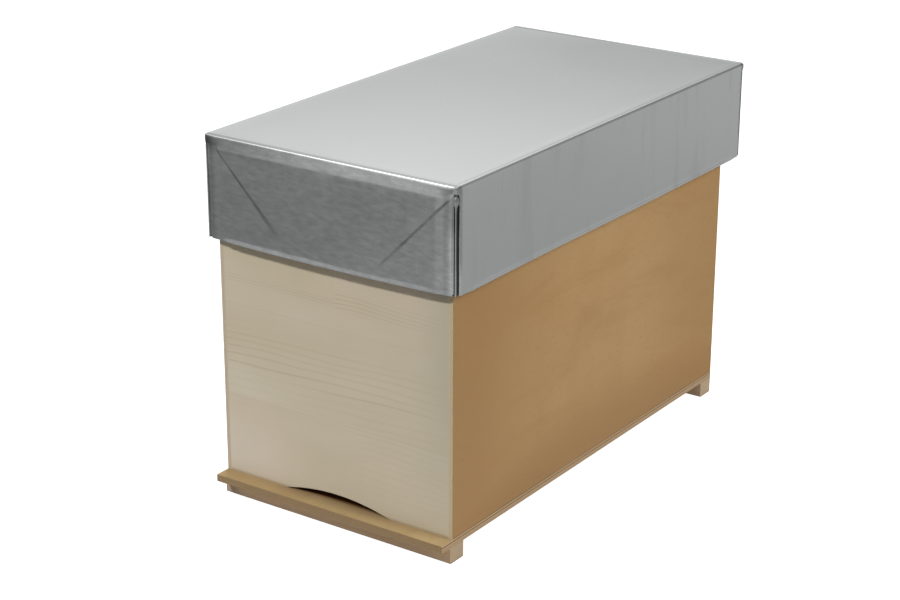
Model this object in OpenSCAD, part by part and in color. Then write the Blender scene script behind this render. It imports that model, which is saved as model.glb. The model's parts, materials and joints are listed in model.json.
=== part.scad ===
// Nucleus hive box with a lift-off folded sheet roof, inner cover and six hanging frames.
// Millimetres, +Z up, front with the entrance towards -Y, origin under the middle of the whole outline.

/* [Box] */
// outside width over the plywood sides
body_w = 240; // [200:1:300]
// outside length over the end walls
body_l = 442; // [400:1:520]
// height of the walls above the floor board
wall_h = 284; // [240:1:340]
// thickness of the front and rear boards
wall_t = 28; // [22:0.5:34]
// thickness of the plywood sides
side_t = 4; // [3:0.5:8]
// thickness of the plywood floor
floor_t = 6.5; // [5:0.5:12]
// how far the floor runs out in front as a landing lip
landing = 15; // [8:1:40]
// height of the two battens under the floor
batten_h = 14.7; // [10:0.1:30]
// depth of each batten, front to back
batten_d = 19; // [15:1:40]
// how far the front batten stands ahead of the front wall
batten_lead = 3; // [0:0.5:8]
// small edge chamfer on the battens
batten_chamfer = 1; // [0:0.25:3]

/* [Entrance] */
// height of the arched entrance
entrance_h = 8; // [6:0.5:12]
// width of the arched entrance at its foot
entrance_w = 112; // [60:1:140]
// how far right of the middle the entrance is cut
entrance_shift = 1.5; // [-5:0.5:5]

/* [Frame rests] */
// width of the rabbet that takes the frame lugs
rabbet_w = 12; // [9:0.5:15]
// bee space between the top bars and the inner cover
top_space = 8; // [6:0.5:10]
// thickness of the metal rest rail
rail_t = 1; // [0.8:0.1:1.5]
// drop of the rail's hanging leg
rail_leg = 14; // [10:1:20]
// number of tacks in one rail
rail_tack_count = 5; // [3:1:9]

/* [Fasteners] */
// diameter of the brads that hold the sides
brad_d = 1.6; // [1.2:0.1:2]
// length of the brads
brad_l = 25; // [18:1:30]
// number of brads in one side at each end wall
brad_count = 6; // [4:1:9]
// shank diameter of the batten screws
screw_d = 4; // [3:0.5:5]
// head diameter of the batten screws
screw_head_d = 8; // [6:0.5:10]
// length of the batten screws
screw_l = 45; // [35:1:60]
// distance of the batten screws from the middle
screw_x = 92; // [80:1:105]
// radial clearance of the screws in battens and floor
screw_play = 0.05; // [0.02:0.01:0.1]

/* [Frames] */
// number of frames
frame_count = 6; // [6:1:6]
// gap between the row of frames and each side
row_gap = 5; // [2:0.5:8]
// bee space from the end bars to each end wall
end_space = 10; // [7:0.5:12]
// space under the frames
bottom_space = 16; // [8:1:25]
// how far each lug bears on its rest
lug_bearing = 8; // [6:0.5:9]
// width of the top bar
top_bar_w = 25; // [22:0.5:28]
// thickness of the top bar
top_bar_t = 10; // [8:0.5:12]
// width of the top bar's neck in the fork of the end bar
neck_w = 15; // [12:0.5:18]
// thickness of the end bars
end_bar_t = 8; // [7:0.5:10]
// play between the end bars of neighbouring frames
end_bar_play = 0.6; // [0.3:0.1:1]
// width of the end bars below the shoulder
end_bar_low_w = 25; // [22:0.5:30]
// height of the wide spacing part
shoulder_h = 95; // [60:1:140]
// height of the slope below the shoulder
slope_h = 12; // [6:1:25]
// width of the bottom bar
bottom_bar_w = 15; // [12:0.5:20]
// thickness of the bottom bar
bottom_bar_t = 8; // [6:0.5:10]
// thickness of the wax foundation
wax_t = 1.8; // [1.4:0.1:3]
// width of the groove for the foundation
groove_w = 2.2; // [1.8:0.1:3.4]
// depth of the groove for the foundation
groove_d = 3.5; // [2:0.5:5]
// gap from the foundation's ends to the end bars
wax_end_gap = 3; // [1:0.5:6]
// diameter of the frame wires
wire_d = 0.5; // [0.4:0.1:0.8]
// number of wires in one frame
wire_count = 4; // [3:1:6]

/* [Inner cover] */
// thickness of the inner cover board
cover_t = 6; // [4:0.5:10]
// how far the cover stays inside the walls all round
cover_inset = 1; // [0:0.5:3]
// height of the cleats on the cover
cleat_h = 8; // [6:0.5:14]
// width of the cleats on the cover
cleat_w = 22; // [15:1:30]
// distance of the cleats from the ends of the cover
cleat_end = 6; // [2:1:30]
// diameter of the feed hole
feed_d = 50; // [40:1:60]
// how far the shutter laps over the feed hole
shutter_lap = 8; // [5:0.5:12]
// thickness of the shutter
shutter_t = 1.2; // [0.8:0.1:2]
// distance from the feed hole's middle to the shutter's pivot
pivot_reach = 44; // [38:1:60]
// width of the shutter's arm
shutter_arm_w = 20; // [14:1:28]
// diameter of the pivot screw
pivot_d = 4; // [3:0.5:5]
// radial clearance of the shutter on its screw
pivot_play = 0.1; // [0.05:0.05:0.3]
// diameter of the pivot screw's head
pivot_head_d = 9; // [7:0.5:12]
// height of the pivot screw's head
pivot_head_h = 2.4; // [1.5:0.1:4]

/* [Roof] */
// thickness of the roof sheet
sheet_t = 0.8; // [0.6:0.1:1.2]
// height of the roof over all
roof_h = 90; // [60:1:120]
// play between the roof and each side of the box
roof_play_w = 7.3; // [4:0.1:12]
// play between the roof and each end of the box when it sits in the middle
roof_play_l = 15; // [6:0.1:20]
// how far back from the middle the loose roof sits
roof_set_back = 8.6; // [0:0.1:10]
// outside radius of the bends
bend_r = 2.4; // [1.6:0.1:4]
// width of the slit beside each corner bend
corner_slit = 0.6; // [0.3:0.1:1.5]
// thickness of the insulating liner under the sheet
liner_t = 7; // [4:0.5:20]
// gap round the liner
liner_gap = 1.5; // [0.5:0.5:5]

/* [Hidden] */
inner_w = body_w - 2 * side_t;
inner_l = body_l - 2 * wall_t;
roof_rear_over = roof_play_l + roof_set_back + sheet_t;
y_front = -(body_l + roof_rear_over - landing) / 2;
y_rear = y_front + body_l;
y_mid = (y_front + y_rear) / 2;
frame_pitch = (inner_w - 2 * row_gap) / frame_count;
frame_l = inner_l - 2 * end_space;
frame_h = wall_h - top_space - bottom_space;
top_bar_l = inner_l + 2 * lug_bearing;
end_bar_w = frame_pitch - end_bar_play;
z_base = batten_h + floor_t;
z_top = z_base + wall_h;
z_rest = z_top - top_space - top_bar_t;
z_cover = z_top + cover_t;
z_roof_in = z_cover + cleat_h + liner_t;
z_roof = z_roof_in + sheet_t;
z_rim = z_roof - roof_h;
roof_w = body_w + 2 * roof_play_w + 2 * sheet_t;
roof_l = body_l + 2 * roof_play_l + 2 * sheet_t;
roof_y = y_mid + roof_set_back;
ear_t = 2 * sheet_t;
z_frame_top = z_rest + top_bar_t;
z_frame_low = z_frame_top - frame_h;
batten_front_y = y_front - batten_lead;
batten_rear_y = y_rear - batten_d;
screw_front_y = batten_front_y + batten_d / 2;
screw_rear_y = batten_rear_y + batten_d / 2;
feed_y = y_mid;
pivot_y = feed_y + pivot_reach;
bits = 0.01;
arch_r = (entrance_w * entrance_w / 4 + entrance_h * entrance_h) / (2 * entrance_h);
$fn = 64;

SPRUCE = [0.85, 0.79, 0.64];
PLY = [0.74, 0.58, 0.38];
ZINC = [0.72, 0.74, 0.75];
STEEL = [0.55, 0.56, 0.58];
LIME = [0.88, 0.79, 0.6];
WAX = [0.93, 0.76, 0.3];
SOFTBOARD = [0.5, 0.38, 0.24];

BOX_NODES = ["front_wall", "rear_wall", "left_side", "right_side", "floor_board", "front_batten",
    "rear_batten", "front_rest_rail", "rear_rest_rail", "side_brads", "batten_screws", "rail_tacks"];
TOP_NODES = ["cover_board", "front_cleat", "rear_cleat", "pivot_screw", "feed_shutter",
    "roof_sheet", "roof_liner"];
FRAME_PIECES = ["top_bar", "front_end_bar", "rear_end_bar", "bottom_bar", "foundation", "wires"];

// Helpers

// box from its low corner to its high corner
module span(low, high) {
    translate(low) cube(high - low);
}

// flat shape drawn in X and Z, standing up, from y_low to y_high
module upright_y(y_low, y_high) {
    translate([0, y_high, 0]) rotate([90, 0, 0]) linear_extrude(height = y_high - y_low) children();
}

// flat shape drawn in Y and Z, standing up, from x_low to x_high
module upright_x(x_low, x_high) {
    translate([x_low, 0, 0]) rotate([90, 0, 90]) linear_extrude(height = x_high - x_low) children();
}

// place of one of a row of evenly spread fasteners
function spread(i, count, low, high) = low + (high - low) * i / (count - 1);

// middle of a frame across the box
function frame_x(i) = (i - (frame_count + 1) / 2) * frame_pitch;

// End walls

// outline of the entrance: one flat arc that runs out at the wall's foot
module arch_shape() {
    translate([entrance_shift, 0]) intersection() {
        translate([0, entrance_h - arch_r]) circle(r = arch_r, $fn = 200);
        translate([-entrance_w / 2 - 5, -1]) square([entrance_w + 10, entrance_h + 2]);
    }
}

// section of an end wall in Y and Z, outer face at y = 0, with the rabbet for the lugs
module wall_section() {
    difference() {
        square([wall_t, wall_h]);
        translate([wall_t - rabbet_w, wall_h - top_space - top_bar_t - rail_t])
            square([rabbet_w + 1, top_space + top_bar_t + rail_t + 1]);
    }
}

module screw_pilots(y) {
    for (side = [-1, 1])
        translate([side * screw_x, y, 0]) cylinder(d = screw_d + 2 * screw_play, h = screw_l + 1, $fn = 32);
}

module front_wall() {
    color(SPRUCE) difference() {
        translate([0, y_front, z_base]) upright_x(-inner_w / 2, inner_w / 2) wall_section();
        translate([0, 0, z_base]) upright_y(y_front - 1, y_front + wall_t + 1) arch_shape();
        screw_pilots(screw_front_y);
    }
}

module rear_wall() {
    color(SPRUCE) difference() {
        translate([0, y_rear, z_base]) mirror([0, 1, 0])
            upright_x(-inner_w / 2, inner_w / 2) wall_section();
        screw_pilots(screw_rear_y);
    }
}

// Sides, floor and battens

module left_side() {
    color(PLY) span([-body_w / 2, y_front, z_base], [-inner_w / 2, y_rear, z_top]);
}

module right_side() {
    color(PLY) span([inner_w / 2, y_front, z_base], [body_w / 2, y_rear, z_top]);
}

module floor_board() {
    color(PLY) difference() {
        span([-body_w / 2, y_front - landing, batten_h], [body_w / 2, y_rear, z_base]);
        screw_pilots(screw_front_y);
        screw_pilots(screw_rear_y);
    }
}

// batten section in Y and Z with its two lower edges broken
module batten_section() {
    c = batten_chamfer;
    polygon([[c, 0], [batten_d - c, 0], [batten_d, c], [batten_d, batten_h], [0, batten_h], [0, c]]);
}

// room for the countersunk heads in a batten
module screw_seats(y) {
    sink = (screw_head_d - screw_d) / 2;
    for (side = [-1, 1]) translate([side * screw_x, y, -bits])
        cylinder(d1 = screw_head_d + 2 * screw_play, d2 = screw_d + 2 * screw_play, h = sink + bits, $fn = 32);
}

module batten(y, screw_y) {
    color(SPRUCE) difference() {
        translate([0, y, 0]) upright_x(-body_w / 2, body_w / 2) batten_section();
        screw_pilots(screw_y);
        screw_seats(screw_y);
    }
}

module front_batten() {
    batten(batten_front_y, screw_front_y);
}

module rear_batten() {
    batten(batten_rear_y, screw_rear_y);
}

// Rest rails

// angle section in Y and Z: one leg lies in the rabbet, the other hangs down the wall's inner face
module rail_section() {
    translate([-rabbet_w, -rail_t]) square([rabbet_w + rail_t, rail_t]);
    translate([0, -rail_leg]) square([rail_t, rail_leg]);
}

module front_rest_rail() {
    color(ZINC) translate([0, y_front + wall_t, z_rest])
        upright_x(-inner_w / 2, inner_w / 2) rail_section();
}

module rear_rest_rail() {
    color(ZINC) translate([0, y_rear - wall_t, z_rest]) mirror([0, 1, 0])
        upright_x(-inner_w / 2, inner_w / 2) rail_section();
}

// Fasteners

module side_brads() {
    edge = wall_t / 2;
    color(STEEL) for (side = [-1, 1]) for (y = [y_front + edge, y_rear - edge]) for (i = [0:brad_count - 1])
        translate([side * body_w / 2, y, spread(i, brad_count, z_base + 18, z_top - 24)])
            rotate([0, -side * 90, 0]) cylinder(d = brad_d, h = brad_l, $fn = 24);
}

module batten_screws() {
    sink = (screw_head_d - screw_d) / 2;
    color(STEEL) for (y = [screw_front_y, screw_rear_y]) for (side = [-1, 1])
        translate([side * screw_x, y, 0]) difference() {
            union() {
                cylinder(d1 = screw_head_d, d2 = screw_d, h = sink, $fn = 32);
                cylinder(d = screw_d, h = screw_l, $fn = 32);
            }
            for (turn = [0, 90]) rotate([0, 0, turn])
                span([-screw_head_d * 0.3, -0.6, -1], [screw_head_d * 0.3, 0.6, 1.2]);
        }
}

module rail_tacks() {
    head_z = z_rest - rail_t - (rail_leg - rail_t) / 2;
    color(STEEL) for (wall = [[y_front + wall_t, -1], [y_rear - wall_t, 1]]) for (i = [0:rail_tack_count - 1])
        translate([spread(i, rail_tack_count, -inner_w / 2 + 20, inner_w / 2 - 20), wall[0], head_z])
            rotate([-wall[1] * 90, 0, 0]) {
                translate([0, 0, -rail_t - 0.8]) cylinder(d = 4, h = 0.8, $fn = 32);
                translate([0, 0, -rail_t - bits]) cylinder(d = 1.4, h = 14, $fn = 24);
            }
}

// Inner cover

module cover_board() {
    color(PLY) difference() {
        span([-body_w / 2 + cover_inset, y_front + cover_inset, z_top],
            [body_w / 2 - cover_inset, y_rear - cover_inset, z_cover]);
        translate([0, feed_y, z_top - 1]) cylinder(d = feed_d, h = cover_t + 2, $fn = 96);
        translate([0, pivot_y, z_top - 1]) cylinder(d = pivot_d + 2 * screw_play, h = cover_t + 2, $fn = 32);
    }
}

module cleat(y) {
    color(SPRUCE) span([-body_w / 2 + cover_inset, y, z_cover],
        [body_w / 2 - cover_inset, y + cleat_w, z_cover + cleat_h]);
}

module front_cleat() {
    cleat(y_front + cover_inset + cleat_end);
}

module rear_cleat() {
    cleat(y_rear - cover_inset - cleat_end - cleat_w);
}

// round-headed screw that stays fixed in the cover board
module pivot_screw() {
    head_z = z_cover + shutter_t + 2 * pivot_play;
    color(STEEL) difference() {
        union() {
            translate([0, pivot_y, z_top]) cylinder(d = pivot_d, h = head_z - z_top + bits, $fn = 32);
            translate([0, pivot_y, head_z]) cylinder(d = pivot_head_d, h = pivot_head_h, $fn = 48);
        }
        translate([0, pivot_y, head_z + pivot_head_h - 0.9]) span([-pivot_head_d, -0.6, 0], [pivot_head_d, 0.6, 2]);
    }
}

// flat shutter: disc over the hole, arm to the pivot and a bent-up finger tab
module feed_shutter() {
    disc_r = feed_d / 2 + shutter_lap;
    tab_w = 14;
    tab_h = 5;
    color(ZINC) translate([0, feed_y, z_cover + pivot_play]) difference() {
        union() {
            linear_extrude(height = shutter_t) {
                circle(r = disc_r, $fn = 128);
                translate([-shutter_arm_w / 2, 0]) square([shutter_arm_w, pivot_reach]);
                translate([0, pivot_reach]) circle(d = shutter_arm_w, $fn = 64);
            }
            span([-tab_w / 2, -disc_r - shutter_t / 2, 0], [tab_w / 2, -disc_r + shutter_t / 2, tab_h]);
            span([-tab_w / 2, -disc_r, 0], [tab_w / 2, -disc_r + 4, shutter_t]);
        }
        translate([0, pivot_reach, -1]) cylinder(d = pivot_d + 2 * pivot_play, h = shutter_t + 2, $fn = 48);
    }
}

// Roof

// rectangle with four round corners
module round_rect(size, r) {
    translate([-size[0] / 2 + r, -size[1] / 2]) square([size[0] - 2 * r, size[1]]);
    translate([-size[0] / 2, -size[1] / 2 + r]) square([size[0], size[1] - 2 * r]);
    for (x = [-1, 1]) for (y = [-1, 1])
        translate([x * (size[0] / 2 - r), y * (size[1] / 2 - r)]) circle(r = r, $fn = 48);
}

// block whose upper edges and upright corners are round, top at z = 0
module soft_block(w, l, h, r) {
    intersection() {
        translate([0, 0, -h]) linear_extrude(height = h) round_rect([w, l], r);
        upright_y(-l, l) translate([0, -h]) round_rect([w, 2 * h], r);
        upright_x(-w, w) translate([0, -h]) round_rect([l, 2 * h], r);
    }
}

// top panel with its bends, down to where the corner slits begin
module roof_pan() {
    pan_h = bend_r + 1;
    difference() {
        soft_block(roof_w, roof_l, pan_h, bend_r);
        translate([0, 0, -sheet_t])
            soft_block(roof_w - 2 * sheet_t, roof_l - 2 * sheet_t, pan_h + 1, bend_r - sheet_t);
    }
}

// end flange with a round folded edge at each upright end, outer face at y = 0, top at z = 0
module end_flange() {
    reach = roof_w / 2 - corner_slit;
    drop = roof_h - bend_r;
    span([-reach + sheet_t, 0, -drop], [reach - sheet_t, sheet_t, 0]);
    for (side = [-1, 1])
        translate([side * (reach - sheet_t), sheet_t, -drop]) cylinder(r = sheet_t, h = drop - 1, $fn = 32);
}

// doubled triangular ear of one corner, lying against the inner face of the end flange
module ear() {
    reach = roof_w / 2 - corner_slit - sheet_t;
    drop = roof_h - bend_r;
    upright_y(sheet_t - bits, sheet_t + ear_t)
        polygon([[reach, 0], [reach, -drop], [reach - drop, -drop]]);
}

// side flange that turns the corner behind the end flange
module side_flange() {
    drop = roof_h - bend_r;
    half = roof_l / 2;
    x = roof_w / 2;
    start = ear_t + bend_r;
    span([x - sheet_t, -half + start, -drop], [x, half - start, 0]);
    for (end = [-1, 1]) intersection() {
        translate([x - bend_r, end * (half - start), -drop]) difference() {
            cylinder(r = bend_r, h = drop, $fn = 48);
            translate([0, 0, -1]) cylinder(r = bend_r - sheet_t, h = drop + 2, $fn = 48);
        }
        translate([x - bend_r, end > 0 ? half - start : -half, -drop]) cube([bend_r, start, drop]);
    }
}

module roof_sheet() {
    color(ZINC) translate([0, roof_y, z_roof]) {
        roof_pan();
        translate([0, 0, -bend_r]) {
            for (turn = [0, 180]) rotate([0, 0, turn]) {
                translate([0, -roof_l / 2, 0]) {
                    end_flange();
                    for (side = [0, 1]) mirror([side, 0, 0]) ear();
                }
                side_flange();
            }
        }
    }
}

module roof_liner() {
    w = roof_w - 2 * sheet_t - 2 * bend_r - 2 * liner_gap;
    l = roof_l - 2 * sheet_t - 2 * ear_t - 2 * bend_r - 2 * liner_gap;
    color(SOFTBOARD) span([-w / 2, roof_y - l / 2, z_roof_in - liner_t], [w / 2, roof_y + l / 2, z_roof_in]);
}

// Frames

module top_bar(i) {
    notch = (top_bar_w - neck_w) / 2;
    color(LIME) translate([frame_x(i), y_mid, z_rest]) difference() {
        span([-top_bar_w / 2, -top_bar_l / 2, 0], [top_bar_w / 2, top_bar_l / 2, top_bar_t]);
        for (end = [-1, 1]) for (side = [-1, 1])
            translate([side * (neck_w / 2 + notch / 2 + 0.5), end * (frame_l - end_bar_t) / 2, top_bar_t / 2])
                cube([notch + 1, end_bar_t, top_bar_t + 2], center = true);
        span([-groove_w / 2, -frame_l / 2 + end_bar_t, -1], [groove_w / 2, frame_l / 2 - end_bar_t, groove_d]);
    }
}

// self-spacing end bar drawn in X and Z from its foot: fork for the top bar, slot for the bottom bar
module end_bar_shape() {
    wide = end_bar_w / 2;
    low = end_bar_low_w / 2;
    step = frame_h - shoulder_h;
    difference() {
        polygon([[-low, 0], [low, 0], [low, step - slope_h], [wide, step], [wide, frame_h],
            [-wide, frame_h], [-wide, step], [-low, step - slope_h]]);
        translate([-neck_w / 2, frame_h - top_bar_t]) square([neck_w, top_bar_t + 1]);
        translate([-bottom_bar_w / 2, -1]) square([bottom_bar_w, bottom_bar_t + 1]);
    }
}

module end_bar(i, end) {
    y = y_mid + end * (frame_l - end_bar_t) / 2;
    color(LIME) translate([frame_x(i), 0, z_frame_low])
        upright_y(y - end_bar_t / 2, y + end_bar_t / 2) end_bar_shape();
}

module bottom_bar(i) {
    color(LIME) translate([frame_x(i), y_mid, z_frame_low]) difference() {
        span([-bottom_bar_w / 2, -frame_l / 2, 0], [bottom_bar_w / 2, frame_l / 2, bottom_bar_t]);
        span([-groove_w / 2, -frame_l / 2 + end_bar_t, bottom_bar_t - groove_d],
            [groove_w / 2, frame_l / 2 - end_bar_t, bottom_bar_t + 1]);
    }
}

module foundation(i) {
    half = frame_l / 2 - end_bar_t - wax_end_gap;
    color(WAX) span([frame_x(i) - wax_t / 2, y_mid - half, z_frame_low + bottom_bar_t - groove_d],
        [frame_x(i) + wax_t / 2, y_mid + half, z_rest + groove_d]);
}

module wires(i) {
    low = z_frame_low + bottom_bar_t;
    gap = (z_rest - low) / wire_count;
    color(STEEL) for (k = [0:wire_count - 1])
        translate([frame_x(i), y_mid - frame_l / 2, low + (k + 0.5) * gap])
            rotate([-90, 0, 0]) cylinder(d = wire_d, h = frame_l, $fn = 16);
}

module frame_piece(i, piece) {
    if (piece == "top_bar") top_bar(i);
    if (piece == "front_end_bar") end_bar(i, -1);
    if (piece == "rear_end_bar") end_bar(i, 1);
    if (piece == "bottom_bar") bottom_bar(i);
    if (piece == "foundation") foundation(i);
    if (piece == "wires") wires(i);
}

front_wall();
rear_wall();
left_side();
right_side();
floor_board();
front_batten();
rear_batten();
front_rest_rail();
rear_rest_rail();
side_brads();
batten_screws();
rail_tacks();
cover_board();
front_cleat();
rear_cleat();
pivot_screw();
feed_shutter();
roof_sheet();
roof_liner();
for (i = [1:frame_count]) for (piece = FRAME_PIECES)
    frame_piece(i, piece);
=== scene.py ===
# Nucleus hive box: folded roof skin, sunk brads, wood and metal finishes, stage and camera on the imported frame.
import json
import math

import bpy
from bpy.props import FloatProperty, FloatVectorProperty, IntProperty, PointerProperty
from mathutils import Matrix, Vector

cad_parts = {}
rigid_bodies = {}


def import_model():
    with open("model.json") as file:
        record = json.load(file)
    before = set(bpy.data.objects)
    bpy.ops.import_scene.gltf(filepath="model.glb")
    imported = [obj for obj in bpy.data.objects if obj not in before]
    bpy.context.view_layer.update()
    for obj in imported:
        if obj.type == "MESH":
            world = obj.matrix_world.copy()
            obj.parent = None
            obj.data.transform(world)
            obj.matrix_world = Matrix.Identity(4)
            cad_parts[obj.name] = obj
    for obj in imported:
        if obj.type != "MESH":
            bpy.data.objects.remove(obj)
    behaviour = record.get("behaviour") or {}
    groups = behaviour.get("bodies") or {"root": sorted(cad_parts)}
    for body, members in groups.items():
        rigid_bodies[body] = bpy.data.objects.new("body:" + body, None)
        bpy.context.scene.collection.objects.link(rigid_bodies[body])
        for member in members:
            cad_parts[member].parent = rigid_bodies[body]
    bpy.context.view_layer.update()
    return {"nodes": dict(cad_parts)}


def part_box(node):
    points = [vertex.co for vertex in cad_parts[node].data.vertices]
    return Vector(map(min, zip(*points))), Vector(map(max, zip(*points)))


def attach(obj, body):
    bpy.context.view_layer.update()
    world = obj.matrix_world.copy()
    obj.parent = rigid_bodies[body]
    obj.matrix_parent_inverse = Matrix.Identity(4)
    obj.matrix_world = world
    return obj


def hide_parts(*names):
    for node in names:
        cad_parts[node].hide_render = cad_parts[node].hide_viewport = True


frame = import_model()
NODES = frame["nodes"]
X, Y, Z = range(3)

ROOF_LOW, ROOF_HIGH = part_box("roof_sheet")
ROOF_MIDDLE = (ROOF_LOW + ROOF_HIGH) / 2
ROOF_DEPTH = ROOF_HIGH.z - ROOF_LOW.z
HALF_WIDTH = (ROOF_HIGH.x - ROOF_LOW.x) / 2
HALF_LENGTH = (ROOF_HIGH.y - ROOF_LOW.y) / 2

WALL_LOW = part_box("front_wall")[0]
FLOOR_LOW, FLOOR_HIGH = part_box("floor_board")
FRAME_COUNT = 6

BRADS_LOW, BRADS_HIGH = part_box("side_brads")
BRAD_RADIUS = 0.0008
BRAD_COUNT = 6
BRAD_PITCH = (BRADS_HIGH.z - BRADS_LOW.z - 2 * BRAD_RADIUS) / (BRAD_COUNT - 1)
BRAD_TIP = 0.095
BRAD_SINK = 0.0008

bl_info = {
    "name": "Nucleus hive box",
    "version": (1, 0, 0),
    "blender": (4, 5, 0),
    "location": "View3D > Sidebar > Hive box",
    "description": "Dresses the packed nucleus hive box with its roof skin, finishes, stage and camera",
    "category": "Object",
}


# Settings

class RoofSettings(bpy.types.PropertyGroup):
    sheet: FloatProperty(
        name="Sheet", description="Thickness of the roof sheet", default=0.0008, unit="LENGTH")
    bend: FloatProperty(
        name="Bend", description="Radius of the bends along the top", default=0.0022, unit="LENGTH")
    bow: FloatProperty(
        name="Bow", description="How far the end flanges bulge at the rim", default=0.0006, unit="LENGTH")
    dip: FloatProperty(
        name="Dip", description="How far the rim of the end flanges dips in the middle", default=0.0011,
        unit="LENGTH")
    crown: FloatProperty(
        name="Crown", description="Rise of the top in its middle", default=0.0015, unit="LENGTH")
    lean: FloatProperty(
        name="Lean", description="Spring-back of the flange under the bend", default=0.0009, unit="LENGTH")
    steps: IntProperty(
        name="Steps", description="Strips along each flange", default=56, min=8, max=120)
    colour: FloatVectorProperty(
        name="Zinc", description="Colour of the zinc coat", default=(0.70, 0.715, 0.715), subtype="COLOR")
    gloss: FloatProperty(
        name="Roughness", description="Roughness of the zinc coat", default=0.26, subtype="FACTOR")


class WoodSettings(bpy.types.PropertyGroup):
    spruce: FloatVectorProperty(
        name="Spruce", description="Early wood of the end boards", default=(0.54, 0.482, 0.375), subtype="COLOR")
    spruce_line: FloatVectorProperty(
        name="Late wood", description="Late wood lines of the end boards", default=(0.40, 0.325, 0.215),
        subtype="COLOR")
    side: FloatVectorProperty(
        name="Side veneer", description="Face veneer of the sides", default=(0.42, 0.2655, 0.117), subtype="COLOR")
    edge: FloatVectorProperty(
        name="Side edges", description="Sawn edges of the sides", default=(0.52, 0.437, 0.292), subtype="COLOR")
    floor: FloatVectorProperty(
        name="Floor veneer", description="Face veneer of the floor", default=(0.385, 0.277, 0.138), subtype="COLOR")
    batten: FloatVectorProperty(
        name="Battens", description="Softwood of the battens", default=(0.755, 0.538, 0.345), subtype="COLOR")
    bars: FloatVectorProperty(
        name="Frame bars", description="Limewood of the frames", default=(0.66, 0.53, 0.34), subtype="COLOR")
    wax: FloatVectorProperty(
        name="Beeswax", description="Beeswax of the foundation", default=(0.72, 0.42, 0.06), subtype="COLOR")


class StageSettings(bpy.types.PropertyGroup):
    lens: FloatProperty(
        name="Lens", description="Focal length of the camera", default=85.716, unit="CAMERA")
    key: FloatProperty(
        name="Key", description="Power of the front soft light", default=66.0, unit="POWER")
    fill: FloatProperty(
        name="Fill", description="Power of the side soft light", default=50.0, unit="POWER")
    back: FloatProperty(
        name="Back", description="Power of the soft light behind the box", default=60.0, unit="POWER")


# Node materials

class Nodes:
    """A node tree, built step by step. A value is a number, a colour or the output of an earlier node."""

    def __init__(self, tree):
        self.tree = tree

    def new(self, kind, **settings):
        node = self.tree.nodes.new(kind)
        for name, value in settings.items():
            setattr(node, name, value)
        return node

    def put(self, socket, value):
        """Links or sets one input."""
        if isinstance(value, bpy.types.NodeSocket):
            self.tree.links.new(value, socket)
        elif socket.type == "RGBA" and len(value) == 3:
            socket.default_value = (*value, 1.0)
        else:
            socket.default_value = value

    def fill(self, node, *values):
        """Puts the values into a node's first inputs."""
        for socket, value in zip(node.inputs, values):
            self.put(socket, value)
        return node.outputs[0]

    def math(self, operation, *values, clamp=False):
        return self.fill(self.new("ShaderNodeMath", operation=operation, use_clamp=clamp), *values)

    def add(self, total, *others):
        for other in others:
            total = self.math("ADD", total, other)
        return total

    def times(self, product, *others):
        for other in others:
            product = self.math("MULTIPLY", product, other)
        return product

    def minus(self, a, b):
        return self.math("SUBTRACT", a, b)

    def most(self, a, b):
        return self.math("MAXIMUM", a, b)

    def absolute(self, value):
        return self.math("ABSOLUTE", value)

    def swing(self, noise, share):
        """Turns a noise from 0 to 1 into one that goes both ways."""
        return self.times(self.minus(noise, 0.5), share)

    def vector(self, operation, *values):
        node = self.new("ShaderNodeVectorMath", operation=operation)
        self.fill(node, *values)
        return node.outputs["Value" if operation in ("LENGTH", "DISTANCE", "DOT_PRODUCT") else "Vector"]

    def join(self, x, y, z):
        return self.fill(self.new("ShaderNodeCombineXYZ"), x, y, z)

    def noise(self, source, scale, detail, roughness, distortion=0.0):
        node = self.new("ShaderNodeTexNoise")
        self.put(node.inputs["Vector"], source)
        self.put(node.inputs["Scale"], scale)
        self.put(node.inputs["Detail"], detail)
        self.put(node.inputs["Roughness"], roughness)
        self.put(node.inputs["Distortion"], distortion)
        return node.outputs[0]

    def grain(self, x, y, z, detail, roughness, distortion=0.0):
        """Noise over a place whose three parts are stretched already."""
        return self.noise(self.join(x, y, z), 1.0, detail, roughness, distortion)

    def chance(self, value):
        """A number from 0 to 1 that belongs to the value."""
        node = self.new("ShaderNodeTexWhiteNoise", noise_dimensions="1D")
        self.put(node.inputs["W"], value)
        return node.outputs[0]

    def rise(self, value, low, high, start=0.0, end=1.0, curve="SMOOTHSTEP"):
        """Goes from start to end while the value goes from low to high."""
        return self.fill(self.new("ShaderNodeMapRange", interpolation_type=curve), value, low, high, start, end)

    def fall(self, value, low, high, start=1.0):
        return self.rise(value, low, high, start, 0.0)

    def ramp(self, value, *stops):
        node = self.new("ShaderNodeValToRGB")
        while len(node.color_ramp.elements) < len(stops):
            node.color_ramp.elements.new(0.5)
        for element, (spot, level) in zip(node.color_ramp.elements, stops):
            element.position = spot
            element.color = (level, level, level, 1.0)
        return self.fill(node, value)

    def mix(self, share, a, b, kind="RGBA"):
        """Goes from a to b, which are numbers, vectors or colours."""
        node = self.new("ShaderNodeMix", data_type=kind)
        first, result = {"FLOAT": (2, 0), "VECTOR": (4, 1), "RGBA": (6, 2)}[kind]
        self.put(node.inputs[0], share)
        self.put(node.inputs[first], a)
        self.put(node.inputs[first + 1], b)
        return node.outputs[result]


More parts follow.
